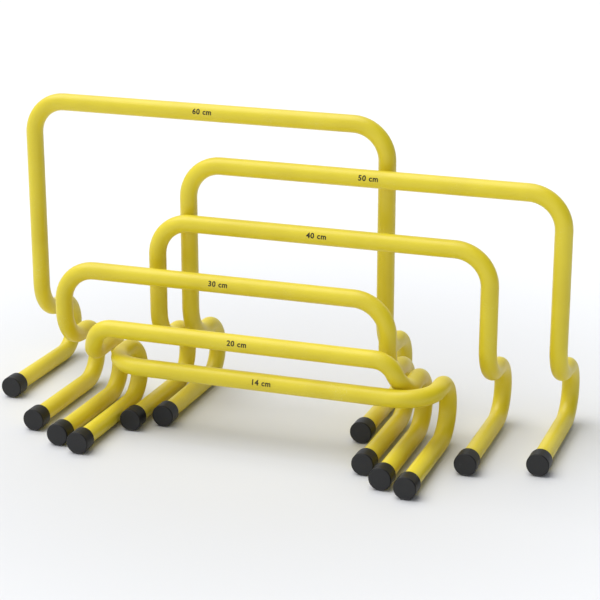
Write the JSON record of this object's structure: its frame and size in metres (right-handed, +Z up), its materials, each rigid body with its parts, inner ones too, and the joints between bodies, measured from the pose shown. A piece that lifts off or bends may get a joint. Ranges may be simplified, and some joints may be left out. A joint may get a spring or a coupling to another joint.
{
  "type": "speed hurdle set",
  "caption": "Graded speed hurdles for agility training, each one bent yellow plastic tube with black end caps, nested on the floor and drawn out one by one.",
  "frame": {"origin": "on the floor, under the middle of the nested set's outline", "axes": "+X along the crossbars, +Y from the capped ends of the feet to the rear, +Z up"},
  "size_m": [1.1112, 0.5253, 0.5885],
  "materials": {
    "yellow_tube": "extruded yellow plastic pipe, satin gloss",
    "black_cap": "moulded black plastic, fine satin"
  },
  "bodies": {
    "hurdle_60": {"tube_60": "yellow_tube", "left_cap_60": "black_cap", "right_cap_60": "black_cap"},
    "hurdle_50": {"tube_50": "yellow_tube", "left_cap_50": "black_cap", "right_cap_50": "black_cap"},
    "hurdle_40": {"tube_40": "yellow_tube", "left_cap_40": "black_cap", "right_cap_40": "black_cap"},
    "hurdle_30": {"tube_30": "yellow_tube", "left_cap_30": "black_cap", "right_cap_30": "black_cap"},
    "hurdle_20": {"tube_20": "yellow_tube", "left_cap_20": "black_cap", "right_cap_20": "black_cap"},
    "hurdle_14": {"tube_14": "yellow_tube", "left_cap_14": "black_cap", "right_cap_14": "black_cap"}
  },
  "joints": [
    {"name": "draw_out_50", "type": "slide", "parent": "hurdle_60", "child": "hurdle_50", "axis": [0, -1, 0], "range_m": [0, 0.6]},
    {"name": "draw_out_40", "type": "slide", "parent": "hurdle_50", "child": "hurdle_40", "axis": [0, -1, 0], "range_m": [0, 0.6]},
    {"name": "draw_out_30", "type": "slide", "parent": "hurdle_40", "child": "hurdle_30", "axis": [0, -1, 0], "range_m": [0, 0.6]},
    {"name": "draw_out_20", "type": "slide", "parent": "hurdle_30", "child": "hurdle_20", "axis": [0, -1, 0], "range_m": [0, 0.6]},
    {"name": "draw_out_14", "type": "slide", "parent": "hurdle_20", "child": "hurdle_14", "axis": [0, -1, 0], "range_m": [0, 0.6]}
  ]
}
